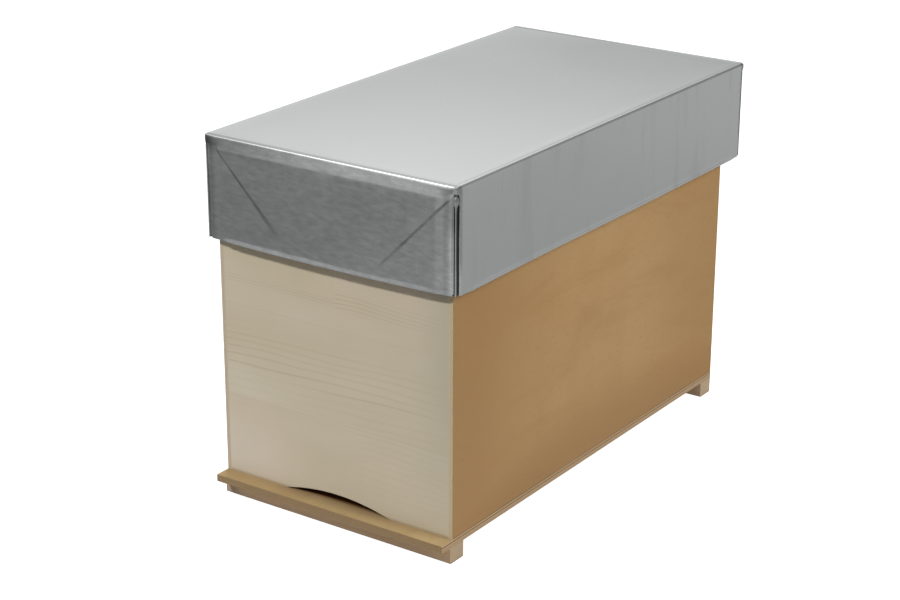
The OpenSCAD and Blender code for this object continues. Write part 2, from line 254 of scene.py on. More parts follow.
class Finish(Nodes):
    """One material on object coordinates."""

    def __init__(self, name, metallic=0.0, roughness=0.5, specular=0.5):
        self.material = bpy.data.materials.new(name)
        self.material.use_nodes = True
        super().__init__(self.material.node_tree)
        self.shader = self.tree.nodes["Principled BSDF"]
        self.skin("Metallic", metallic)
        self.skin("Roughness", roughness)
        self.skin("Specular IOR Level", specular)
        coords = self.new("ShaderNodeTexCoord")
        self.place = coords.outputs["Object"]
        self.normal = coords.outputs["Normal"]

    def skin(self, name, value):
        """Puts a value into the shader."""
        self.put(self.shader.inputs[name], value)

    def moved(self, scale, location=(0, 0, 0)):
        node = self.new("ShaderNodeMapping")
        self.put(node.inputs["Vector"], self.place)
        self.put(node.inputs["Location"], location)
        self.put(node.inputs["Scale"], scale)
        return node.outputs[0]

    def parts(self, source=None):
        node = self.new("ShaderNodeSeparateXYZ")
        self.fill(node, source or self.place)
        return node.outputs

    def bump(self, height, strength, distance):
        node = self.new("ShaderNodeBump")
        self.put(node.inputs["Strength"], strength)
        self.put(node.inputs["Distance"], distance)
        self.put(node.inputs["Height"], height)
        last = self.shader.inputs["Normal"]
        if last.is_linked:
            self.put(node.inputs["Normal"], last.links[0].from_socket)
        self.put(last, node.outputs[0])

    def facing(self, axis):
        """One on faces that look along the axis, zero on the edges."""
        return self.math("GREATER_THAN", self.absolute(self.parts(self.normal)[axis]), 0.6)

    def give(self, *names):
        """Puts the material on nodes, by name, or on pieces."""
        for name in names:
            mesh = NODES[name].data if isinstance(name, str) else name.data
            mesh.materials.clear()
            mesh.materials.append(self.material)
            mesh.polygons.foreach_set("material_index", [0] * len(mesh.polygons))


def darker(colour, share):
    """The colour with all its parts scaled alike."""
    return tuple(c * share for c in colour)


def shifted(colour, shares):
    """The colour with each part scaled by its own share."""
    return tuple(c * s for c, s in zip(colour, shares))


# Meshes

def fresh():
    """Leaves edit mode and selects nothing."""
    if bpy.context.object and bpy.context.object.mode != "OBJECT":
        bpy.ops.object.mode_set(mode="OBJECT")
    bpy.ops.object.select_all(action="DESELECT")


def take(piece):
    """Selects one piece alone."""
    fresh()
    bpy.context.view_layer.objects.active = piece
    piece.select_set(True)


def smooth(piece, angle):
    take(piece)
    bpy.ops.object.shade_smooth_by_angle(angle=math.radians(angle))


def settle(piece):
    """Puts a piece's place into its mesh."""
    take(piece)
    bpy.ops.object.transform_apply(location=True, rotation=True, scale=True)


def turn_outward(piece):
    """Makes all faces of a piece look outward."""
    take(piece)
    bpy.ops.object.mode_set(mode="EDIT")
    bpy.ops.mesh.select_all(action="SELECT")
    bpy.ops.mesh.normals_make_consistent(inside=False)
    bpy.ops.object.mode_set(mode="OBJECT")


# Roof skin

TOP_CORNER = 0.0042
END_RUN, SIDE_RUN = 0.014, 0.013
MILLIMETRES = 1000

# Plan of one folded corner as (inward from the side, inward from the end), in millimetres: edge of the end flange,
# slit, edge of the folded ear, second slit and the bend of the side flange.
CORNER_PATH = (
    (14.0, 0.0), (11.0, 0.03), (8.4, 0.18), (6.6, 0.45), (5.5, 0.85), (4.9, 1.5), (4.7, 2.6), (4.5, 3.5),
    (4.0, 3.7), (3.5, 3.3), (3.15, 2.3), (2.85, 1.5), (2.35, 1.1), (1.85, 1.25), (1.6, 1.9), (1.8, 3.2),
    (2.3, 4.5), (2.2, 5.3), (1.6, 5.5), (1.0, 5.4), (0.5, 5.8), (0.2, 6.8), (0.05, 8.4), (0.0, 10.5),
    (0.0, 13.0),
)

# Rows of the skin: close ones at the rim, even ones up the flange, close ones where the slit ends, the bend's own
# and the rings of the top.
RIM_ROWS = (0.0, 0.0006, 0.0013, 0.002, 0.003, 0.0042)
FLANGE_FOOT, FLANGE_MARGIN, FLANGE_ROWS = 0.006, 0.023, 15
SLIT_DROPS = (0.0150, 0.0138, 0.0128, 0.0119, 0.0112, 0.0104, 0.0096, 0.0088, 0.0081, 0.0074, 0.0065, 0.0048)
UNDER_BEND, BEND_ROWS = 0.0008, 7
TOP_EDGE_DROP, TOP_EDGE_IN = 0.00020, 0.0016
TOP_DROP, TOP_IN = 0.00024, 0.0036
TOP_SHRINKS = (1.0, 0.97, 0.92, 0.84, 0.74, 0.62, 0.5, 0.38, 0.26, 0.14)

# The flanges: a lip along the rim, waves and corner bulges of the sides, lean and bow of the ends. The waves are
# (turn for each metre, start, height).
LIP_OUT, LIP_HEIGHT, LIP_STOPS, LIP_FADES = 0.0008, 0.0040, 0.012, 0.02
SIDE_WAVES = ((21.0, 0.6, 0.0003), (9.0, 0.0, 0.0004))
WAVES_FADE = 0.05
BULGE_OUT, BULGE_PLACE, BULGE_REACH, BULGE_FADES = 0.0007, 0.017, 0.007, 0.03
LEAN_HEIGHT = 0.0086
BOW_STOPS, BOW_DOWN_POWER, BOW_ACROSS_POWER = 0.018, 1.4, 1.5
END_FADES = 0.016

# The folds: where the slit closes, how sharp the bend is from left to right, the tabs and the ears.
SLIT_TOP, SLIT_CLOSES = 0.0085, 0.0030
LEFT_BEND, BEND_GAIN = 0.48, 0.64
TIGHTEST_CORNER = 0.0004
NEAR_TAB, OTHER_TABS = 0.0018, 0.0002
TAB_FROM, TAB_TO, TAB_IN_END = 0.0012, 0.0036, 0.0056
KNOB_DROP, KNOB_REACH = 0.0122, 0.0032
HOLLOW_DROP, HOLLOW_REACH = 0.0074, 0.0009
EAR_IN_END, EAR_IN_SIDE, EAR_FOOT, EAR_SHORT = 0.0019, 0.0035, 0.0015, 0.006
EAR_TIP, EAR_TIP_SHARE, EAR_ROUND = 0.0012, 0.985, 0.0006
SKIN_ANGLE, EDGE_ANGLE = 50, 40


def plain_corner():
    """As many points as the folded corner has, round a simple rounded corner, for the top of the fold."""
    path = [(14.0, 0.0), (9.0, 0.0)]
    reach = MILLIMETRES * TOP_CORNER
    turn = len(CORNER_PATH) - 4
    for i in range(turn):
        angle = math.pi / 2 * i / (turn - 1)
        path.append((reach * (1 - math.sin(angle)), reach * (1 - math.cos(angle))))
    return path + [(0.0, 9.0), (0.0, 13.0)]


def roof_plan(steps):
    """Ring of plan points, each as the folded place, the plain place, the way out and what part it is on."""
    corner = list(zip(CORNER_PATH, plain_corner()))
    low, high = ROOF_LOW, ROOF_HIGH
    ring = []

    def turn(points, x, y, side, end):
        for (a, b), (c, d) in points:
            folded = Vector((x - side * a / MILLIMETRES, y - end * b / MILLIMETRES))
            plain = Vector((x - side * c / MILLIMETRES, y - end * d / MILLIMETRES))
            ring.append((folded, plain, Vector((0, end)) if b < a else Vector((side, 0)), "corner"))

    for end in (-1, 1):
        side = -end
        start, stop = (low, high) if end < 0 else (high, low)
        x, y = stop.x, start.y
        for i in range(1, steps):
            along = start.x - END_RUN * end + (x - start.x + 2 * END_RUN * end) * i / steps
            ring.append((Vector((along, y)), Vector((along, y)), Vector((0, end)), "end"))
        turn(corner, x, y, side, end)
        for i in range(1, steps):
            along = y - SIDE_RUN * end + (stop.y - y + 2 * SIDE_RUN * end) * i / steps
            ring.append((Vector((x, along)), Vector((x, along)), Vector((side, 0)), "side"))
        turn(reversed(corner), x, stop.y, side, -end)
    return ring


def roof_levels(bend):
    """Rows from the rim to the top as (height above the rim, inset of the wall, shrink of the ring)."""
    depth = ROOF_DEPTH
    heights = list(RIM_ROWS)
    heights += [FLANGE_FOOT + (depth - FLANGE_MARGIN) * i / (FLANGE_ROWS - 1) for i in range(FLANGE_ROWS)]
    heights += [depth - drop for drop in SLIT_DROPS]
    heights += [depth - bend - UNDER_BEND]
    rows = [(height, 0.0, 1.0) for height in heights]
    for i in range(BEND_ROWS):
        angle = math.pi / 2 * i / (BEND_ROWS - 1)
        rows.append((depth - bend + bend * math.sin(angle), bend * (1 - math.cos(angle)), 1.0))
    rows.append((depth - TOP_EDGE_DROP, bend + TOP_EDGE_IN, 1.0))
    return rows + [(depth - TOP_DROP, bend + TOP_IN, shrink) for shrink in TOP_SHRINKS]


def ease(value):
    """Goes softly from 0 to 1."""
    value = min(1.0, max(0.0, value))
    return value * value * (3 - 2 * value)


def flange_push(settings, spot, half, height, kind):
    """How far a flange stands out of its flat place: lip at the rim, spring-back under the bend, bow and waves."""
    drop = ROOF_DEPTH - height
    left = half - abs(spot)
    lip = LIP_OUT * (1 - ease(height / LIP_HEIGHT)) * ease((left - LIP_STOPS) / LIP_FADES)
    if kind == "side":
        wave = sum(math.sin(spot * turn + start) * size for turn, start, size in SIDE_WAVES)
        bulge = BULGE_OUT * math.exp(-((left - BULGE_PLACE) / BULGE_REACH) ** 2) * ease(drop / BULGE_FADES)
        return lip + bulge + wave * ease(drop / WAVES_FADE) * ease(left / WAVES_FADE)
    lean = settings.lean * min(1.0, max(0.0, (drop - settings.bend) / LEAN_HEIGHT))
    middle = max(0.0, 1.0 - (spot / (half - BOW_STOPS)) ** 2)
    bow = settings.bow * (drop / ROOF_DEPTH) ** BOW_DOWN_POWER * middle ** BOW_ACROSS_POWER
    return lip + (lean + bow) * ease(left / END_FADES)


class HIVE_OT_roof(bpy.types.Operator):
    """Folds the roof sheet: rounded bends, bulging end flanges, slit corners and the doubled ears inside"""
    bl_idname = "hive.roof"
    bl_label = "Folded roof"

    def execute(self, context):
        settings = context.scene.hive_roof
        plan = roof_plan(settings.steps)
        rows = roof_levels(settings.bend)
        fresh()
        bpy.ops.mesh.primitive_circle_add(vertices=len(plan), radius=0.1, location=(0, 0, 0))
        skin = context.object
        skin.name = skin.data.name = "roof_skin"
        for _ in rows[1:]:
            bpy.ops.object.mode_set(mode="EDIT")
            bpy.ops.mesh.extrude_edges_move(TRANSFORM_OT_translate={"value": (0, 0, 0.001)})
            bpy.ops.object.mode_set(mode="OBJECT")
        bpy.ops.object.mode_set(mode="EDIT")
        bpy.ops.mesh.edge_face_add()
        bpy.ops.object.mode_set(mode="OBJECT")
        self.shape(settings, skin, plan, rows)
        turn_outward(skin)
        wall = skin.modifiers.new("Sheet", "SOLIDIFY")
        wall.thickness = settings.sheet
        wall.offset = -1.0
        bpy.ops.object.modifier_apply(modifier=wall.name)
        smooth(skin, SKIN_ANGLE)
        ears = self.ears(context, settings.sheet)
        for piece in (skin, ears):
            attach(piece, "roof")
        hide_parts("roof_sheet")
        return {"FINISHED"}

    def shape(self, settings, skin, plan, rows):
        """Moves each extruded ring to its row of the folded sheet."""
        low, middle, depth = ROOF_LOW, ROOF_MIDDLE, ROOF_DEPTH
        for index, vertex in enumerate(skin.data.vertices):
            row, column = divmod(index, len(plan))
            height, inset, shrink = rows[row]
            folded, plain, out, kind = plan[column]
            if inset > 0.0 and shrink == 1.0:
                sharp = LEFT_BEND + BEND_GAIN * ease((folded.x - low.x) / (2 * HALF_WIDTH))
                height, inset = depth - (depth - height) * sharp, inset * sharp
            spot = folded.lerp(plain, ease((height - (depth - SLIT_TOP)) / SLIT_CLOSES))
            if kind == "side":
                push = flange_push(settings, spot.y - middle.y, HALF_LENGTH, height, kind)
            elif kind == "end":
                push = flange_push(settings, spot.x - middle.x, HALF_WIDTH, height, kind)
            else:
                push = self.tab(folded, depth - height)
            spot = spot + out * push
            dip = rise = 0.0
            if kind == "end":
                across = (spot.x - middle.x) / (HALF_WIDTH - END_RUN)
                dip = settings.dip * (1 - height / depth) * max(0.0, 1 - across ** 2)
            x = self.drawn_in(spot.x - middle.x, HALF_WIDTH, inset) * shrink
            y = self.drawn_in(spot.y - middle.y, HALF_LENGTH, inset) * shrink
            if shrink < 1.0:
                rise = settings.crown * (1 - (x / HALF_WIDTH) ** 2) * (1 - (y / HALF_LENGTH) ** 2)
            vertex.co = (middle.x + x, middle.y + y, low.z + height + rise - dip)

    @staticmethod
    def tab(folded, drop):
        """Round end of the folded ear, standing out at the top of the slit under a small hollow."""
        in_side = min(folded.x - ROOF_LOW.x, ROOF_HIGH.x - folded.x)
        in_end = min(folded.y - ROOF_LOW.y, ROOF_HIGH.y - folded.y)
        if not (TAB_FROM < in_side < TAB_TO and in_end < TAB_IN_END):
            return 0.0
        size = NEAR_TAB if folded.x > 0 > folded.y else OTHER_TABS
        knob = math.exp(-((drop - KNOB_DROP) / KNOB_REACH) ** 2)
        hollow = math.exp(-((drop - HOLLOW_DROP) / HOLLOW_REACH) ** 2)
        return size * (knob - hollow)

    @staticmethod
    def drawn_in(offset, half, inset):
        """Moves a plan offset inward with the bend, and keeps the round corner round."""
        edge = half - abs(offset)
        if inset > 0.0 and edge < TOP_CORNER:
            edge = inset + edge * (TOP_CORNER - min(inset, TOP_CORNER - TIGHTEST_CORNER)) / TOP_CORNER
        return math.copysign(half - edge, offset)

    @staticmethod
    def ears(context, sheet):
        """Doubled triangles inside the end flanges, a plate cut to shape at each of the four corners."""
        reach = ROOF_DEPTH - EAR_SHORT
        foot = ROOF_LOW.z + EAR_FOOT
        made = []
        for y in (ROOF_LOW.y + EAR_IN_END, ROOF_HIGH.y - EAR_IN_END):
            for x, side in ((ROOF_LOW.x + EAR_IN_SIDE, -1), (ROOF_HIGH.x - EAR_IN_SIDE, 1)):
                fresh()
                bpy.ops.mesh.primitive_plane_add(size=1.0, location=(0, 0, 0))
                ear = context.object
                corners = ((x, y, foot), (x - side * reach, y, foot),
                           (x, y, foot + reach), (x - side * reach * EAR_TIP_SHARE, y, foot + EAR_TIP))
                for vertex, place in zip(ear.data.vertices, corners):
                    vertex.co = place
                layers = ear.modifiers.new("Layers", "SOLIDIFY")
                layers.thickness = 2 * sheet
                layers.offset = 0.0
                fold = ear.modifiers.new("Fold", "BEVEL")
                fold.width = EAR_ROUND
                fold.segments = 2
                take(ear)
                for step in (layers.name, fold.name):
                    bpy.ops.object.modifier_apply(modifier=step)
                made.append(ear)
        take(made[0])
        for ear in made:
            ear.select_set(True)
        bpy.ops.object.join()
        ears = context.object
        ears.name = ears.data.name = "roof_ears"
        turn_outward(ears)
        smooth(ears, EDGE_ANGLE)
        return ears


class HIVE_OT_brads(bpy.types.Operator):
    """Sets the brads of the sides a little under the veneer"""
    bl_idname = "hive.brads"
    bl_label = "Sunk brads"

    def execute(self, context):
        low, high = BRADS_LOW, BRADS_HIGH
        fresh()
        bpy.ops.mesh.primitive_cylinder_add(
            vertices=24, radius=BRAD_RADIUS, depth=high.x - BRAD_SINK - BRAD_TIP,
            location=((high.x - BRAD_SINK + BRAD_TIP) / 2, low.y + BRAD_RADIUS, low.z + BRAD_RADIUS),
            rotation=(0, math.pi / 2, 0))
        brads = context.object
        brads.name = brads.data.name = "sunk_brads"
        settle(brads)
        for count, step in ((BRAD_COUNT, (0, 0, BRAD_PITCH)), (2, (0, high.y - low.y - 2 * BRAD_RADIUS, 0))):
            bpy.ops.object.modifier_add(type="ARRAY")
            array = brads.modifiers[-1]
            array.count = count
            array.use_relative_offset = False
            array.use_constant_offset = True
            array.constant_offset_displace = step
            bpy.ops.object.modifier_apply(modifier=array.name)
        bpy.ops.object.modifier_add(type="MIRROR")
        bpy.ops.object.modifier_apply(modifier=brads.modifiers[-1].name)
        turn_outward(brads)
        smooth(brads, EDGE_ANGLE)
        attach(brads, "box")
        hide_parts("side_brads")
        return {"FINISHED"}


# Finishes

SLANT = 0.707
RIGHT_CREASE = ROOF_HIGH.x - ROOF_DEPTH + 0.004
LEFT_CREASE = ROOF_HIGH.x - ROOF_DEPTH - 0.0035


def zinc_finish(settings):
    """Satin zinc: rolling streaks, faint spangle, smudges, fold lines on the end flanges drawn as painted shade,
    painted shade in the slits and at the corners, and painted sheen and shade over the top and under the bends.
    """
    f = Finish("galvanised_sheet", metallic=1.0, roughness=settings.gloss)
    depth, zinc = ROOF_DEPTH, settings.colour
    x, y, z = f.parts()
    on_side, on_end, on_top = (f.facing(axis) for axis in (X, Y, Z))
    height = f.minus(z, ROOF_LOW.z)
    in_side = f.minus(HALF_WIDTH, f.absolute(x))
    in_end = f.minus(HALF_LENGTH, f.absolute(f.minus(y, ROOF_MIDDLE.y)))

    spangle = f.noise(f.place, 420.0, 2.0, 0.6)
    streak = f.noise(f.moved((260.0, 5.0, 260.0)), 1.0, 3.0, 0.6)
    cloud = f.noise(f.place, 14.0, 4.0, 0.55, 0.4)
    mottle = f.noise(f.moved((95.0, 95.0, 270.0)), 1.0, 4.0, 0.62)
    smear = f.noise(f.moved((34.0, 46.0, 9.0), (3.1, 0.4, 1.7)), 1.0, 3.0, 0.55)
    smudge = f.times(f.rise(smear, 0.48, 0.74), f.minus(1.0, on_top))
    tone = f.add(f.swing(spangle, 0.08), f.swing(streak, 0.03), f.swing(cloud, 0.10),
                 f.times(f.swing(mottle, 1.8), on_end))
    base = f.mix(f.math("ADD", 0.5, tone, clamp=True), darker(zinc, 0.80), darker(zinc, 1.18))
    base = f.mix(f.times(smudge, 0.16), base, darker(zinc, 0.66))

    # Creases of the folded ears, seen through the end flanges as two slanting lines of painted shade, and painted
    # shade in the open slits.
    right_line = f.absolute(f.times(f.add(f.minus(RIGHT_CREASE, x), height), SLANT))
    left_line = f.absolute(f.times(f.add(LEFT_CREASE, x, height), SLANT))
    under_fold = f.fall(height, depth - 0.0135, depth - 0.0095)
    right = f.times(f.fall(right_line, 0.0003, 0.0020), f.rise(height, 0.009, 0.022), under_fold)
    left_reach = f.rise(height, 0.0, 0.07, 0.0042, 0.0016)
    left = f.times(f.fall(left_line, 0.0003, left_reach), f.rise(height, 0.005, 0.04), under_fold)
    gaps = f.noise(f.moved((48.0, 48.0, 48.0), (0.7, 0.0, 0.2)), 1.0, 2.0, 0.5)
    shaded_crease = f.times(f.most(right, left), f.rise(gaps, 0.34, 0.58, 0.45, 1.0), on_end)
    base = f.mix(f.times(shaded_crease, 0.70), base, darker(zinc, 0.26))
    # Painted shade: inside the open slits of the folded corners the zinc is darkened nearly to black.
    inside = f.rise(f.math("MINIMUM", in_side, in_end), 0.0013, 0.0019)
    slit = f.times(inside, f.fall(height, depth - 0.0075, depth - 0.005))
    base = f.mix(f.times(slit, 0.85), base, darker(zinc, 0.10))

    # Painted light and shade: a painted sheen across the top with a painted shade line along each end fold, a
    # painted reflection band under the bend over the end flanges, and painted shade at the corners.
    painted_top_sheen = f.add(f.times(x, 0.19), f.times(x, y, -3.0))
    # Painted shade line on the top along each end fold, stronger to the left.
    painted_fold_shade = f.times(f.rise(in_end, 0.0016, 0.0030), f.fall(in_end, 0.0050, 0.0075))
    painted_top_sheen = f.minus(painted_top_sheen, f.times(painted_fold_shade, f.rise(x, -0.12, 0.10, 0.36, 0.12)))
    # Painted reflection band under the bend of the end flanges, darker to the left and lighter to the right.
    painted_bend_reflection = f.times(f.rise(height, depth - 0.017, depth - 0.006), f.rise(x, -0.115, 0.015, -0.34, 0.20))
    level = f.add(1.0, f.times(painted_top_sheen, on_top), f.times(painted_bend_reflection, on_end))
    # Painted shade on the zinc near the corners of the end flanges and the side flanges.
    upper = f.most(f.rise(height, 0.045, 0.062), f.fall(x, -0.02, 0.02))
    dull = f.times(f.fall(in_side, 0.003, 0.014), upper, on_end)
    painted_roll_shade = f.times(f.fall(in_end, 0.0055, 0.0095), f.rise(height, 0.012, 0.03), on_side)
    level = f.minus(level, f.times(f.most(dull, painted_roll_shade), 0.40))
    f.skin("Base Color", f.vector("MULTIPLY", base, f.join(level, level, level)))
    f.skin("Roughness", f.add(f.swing(cloud, 0.08), f.swing(streak, 0.025), f.times(smudge, 0.08), settings.gloss))
    f.bump(f.minus(0.0, shaded_crease), 0.12, 0.0008)
    return f


STAVE_FOOT, STAVE_WIDTH = 0.0115, 0.084
JOINTED_STAVE, JOINT_PLACE = 2.0, 0.0014
PITH_DEPTH, PITH_SPREAD = 0.26, 0.12
RING_RATE, RING_SPREAD, JOINTED_EXTRA = 120.0, 160.0, 120.0
GROUP_BLUR, GROUP_END = 0.006, 0.004

# Groups of dark grain lines on the front board: lower and upper edge, left and right end, strength.
FRONT_GRAIN = (
    (0.118, 0.161, -0.14, 0.14, 0.80),
    (0.1965, 0.2095, -0.14, 0.0034, 1.50),
    (0.1945, 0.2155, -0.0006, 0.14, 1.40),
    (0.035, 0.115, 0.02, 0.14, 0.30),
)


def spruce_finish(name, wood, groups=()):
    """Edge-glued spruce: staves with their own growth rings along the board, fibres and glue lines."""
    f = Finish(name, roughness=0.62, specular=0.28)
    spruce, late_wood = wood.spruce, wood.spruce_line
    run, thick, up = f.parts()
    staves = f.math("DIVIDE", f.minus(up, STAVE_FOOT), STAVE_WIDTH)
    stave = f.math("FLOOR", staves)
    jointed = f.math("COMPARE", stave, JOINTED_STAVE, 0.5)
    piece = f.add(stave, f.times(f.math("GREATER_THAN", run, JOINT_PLACE), jointed, 7.0))
    luck = f.chance(f.times(piece, 1.37))
    luck2 = f.chance(f.add(f.times(piece, 2.11), 5.3))

    # Growth rings, as circles round a pith far behind the board.
    sway = f.grain(f.times(run, 5.0), f.times(up, 16.0), f.add(f.times(thick, 16.0), f.times(piece, 3.7)), 2.0, 0.5)
    bend = f.times(run, run, f.add(0.14, f.times(luck2, 0.14)))
    tilt = f.times(run, f.swing(luck, 0.07))
    level = f.add(f.minus(up, tilt), f.add(bend, f.swing(sway, 0.016)), f.times(luck, 0.3))
    depth = f.add(thick, f.add(PITH_DEPTH, f.times(luck2, PITH_SPREAD)))
    ring = f.math("SQRT", f.add(f.times(level, level), f.times(depth, depth)))
    rate = f.add(RING_RATE, f.times(luck2, RING_SPREAD), f.times(jointed, JOINTED_EXTRA))
    phase = f.math("FRACT", f.add(f.times(ring, rate), f.times(sway, 0.8)))
    late = f.ramp(phase, (0.0, 0.25), (0.08, 0.0), (0.68, 0.05), (0.86, 0.50), (0.94, 1.0), (1.0, 0.25))
    patches = f.grain(f.times(run, 3.0), f.times(up, 14.0), f.times(piece, 5.1), 2.0, 0.5)
    strength = f.rise(patches, 0.43, 0.66, 0.02, 1.0)
    if groups:
        patchy, strength = f.add(0.55, f.times(strength, 0.6)), f.times(strength, 0.22)
        for low, high, left, right, share in groups:
            inside = f.times(f.rise(up, low, low + GROUP_BLUR), f.fall(up, high - GROUP_BLUR, high),
                             f.rise(run, left, left + GROUP_END), f.fall(run, right - GROUP_END, right))
            strength = f.most(strength, f.times(inside, patchy, share))

    fibre = f.grain(f.times(run, 22.0), f.times(up, 700.0), f.times(thick, 700.0), 3.0, 0.6)
    cloud = f.grain(f.times(run, 4.0), f.times(up, 11.0), f.add(thick, f.times(piece, 2.3)), 3.0, 0.5)
    blush = f.grain(f.times(run, 9.0), f.times(up, 6.0), f.add(f.times(thick, 4.0), 8.3), 3.0, 0.55)
    base = f.mix(f.rise(cloud, 0.25, 0.75),
                 shifted(spruce, (0.95, 0.92, 0.86)), shifted(spruce, (1.04, 1.06, 1.08)))
    base = f.mix(f.rise(blush, 0.42, 0.72), base, shifted(spruce, (1.08, 1.02, 1.01)))
    base = f.mix(f.times(late, strength, 0.74), base, late_wood)
    base = f.mix(f.swing(luck, 0.12), base, shifted(spruce, (0.94, 0.86, 0.70)))
    base = f.mix(f.times(f.rise(fibre, 0.55, 0.8), 0.14), base, late_wood)
    glue = f.rise(f.absolute(f.minus(f.math("FRACT", staves), 0.5)), 0.4955, 0.5)
    base = f.mix(f.times(glue, 0.3), base, darker(late_wood, 0.9))
    if groups:
        grey = f.times(f.rise(run, 0.075, 0.117), f.rise(up, 0.03, 0.15, 0.1, 0.8))
        base = f.mix(grey, base, shifted(spruce, (0.83, 0.85, 0.82)))
        pale = f.times(f.fall(run, -0.10, -0.01, 0.6), f.fall(up, 0.03, 0.11))
        base = f.mix(pale, base, shifted(spruce, (1.13, 1.12, 1.20)))
    # Painted contact shadow, yellowish brown, along the foot of the board where it stands on the floor.
    foot = f.minus(up, WALL_LOW.z)
    f.skin("Base Color", f.mix(f.fall(foot, 0.0, 0.0034, 0.62), base, shifted(late_wood, (0.80, 0.70, 0.45))))
    f.skin("Roughness", f.add(0.56, f.times(fibre, 0.14)))
    f.bump(fibre, 0.12, 0.0003)
    f.bump(late, 0.06, 0.0003)
    return f


ENTRANCE_HALF = 0.06
ENTRANCE_BLUR = 0.006


def side_tones_and_foot_shadow(f, face, veneer, run, up):
    """A side's browner front, rear and foot, the filled holes over its brads and a painted contact shadow along its
    lower edge.
    """
    front = f.minus(run, WALL_LOW.y)
    foot = f.minus(up, WALL_LOW.z)
    rear = f.minus(FLOOR_HIGH.y, run)
    tint = f.most(f.fall(front, 0.0, 0.22, 0.84), f.fall(foot, 0.0, 0.085, 0.95))
    tint = f.most(tint, f.fall(rear, 0.0, 0.20, 0.55))
    face = f.mix(f.times(tint, 0.9), face, shifted(veneer, (0.735, 0.65, 0.545)))
    row = f.math("DIVIDE", f.minus(up, BRADS_LOW.z + BRAD_RADIUS), BRAD_PITCH)
    off_row = f.times(f.minus(row, f.math("ROUND", row)), BRAD_PITCH)
    off_middle = f.absolute(f.minus(run, (BRADS_LOW.y + BRADS_HIGH.y) / 2))
    off_line = f.minus(off_middle, (BRADS_HIGH.y - BRADS_LOW.y) / 2 - BRAD_RADIUS)
    off_brad = f.vector("LENGTH", f.join(off_line, off_row, 0.0))
    face = f.mix(f.fall(off_brad, 0.0007, 0.0012, 0.22), face, shifted(veneer, (0.60, 0.50, 0.40)))
    # Painted contact shadow along the lower edge of the side.
    return f.mix(f.fall(foot, 0.0002, 0.0016, 0.75), face, shifted(veneer, (0.34, 0.26, 0.20)))


def landing_stain_and_shade(f, face, veneer, run, across):
    """The stain before the front wall, blotchy and strongest in the middle, darkest at the wall's foot where it is
    partly painted contact shade.
    """
    spread = f.grain(f.times(run, 90.0), f.times(across, 38.0), 1.9, 3.0, 0.6)
    near = f.fall(f.minus(WALL_LOW.y, run), 0.0, 0.0125)
    middle = f.rise(f.absolute(across), 0.045, 0.085, 1.0, 0.45)
    # Darkening near the wall's foot: partly stain, partly painted contact shade.
    stain_and_shade = f.times(near, middle, f.rise(spread, 0.25, 0.65, 0.5, 0.8))
    return f.mix(stain_and_shade, face, shifted(veneer, (0.70, 0.66, 0.70)))


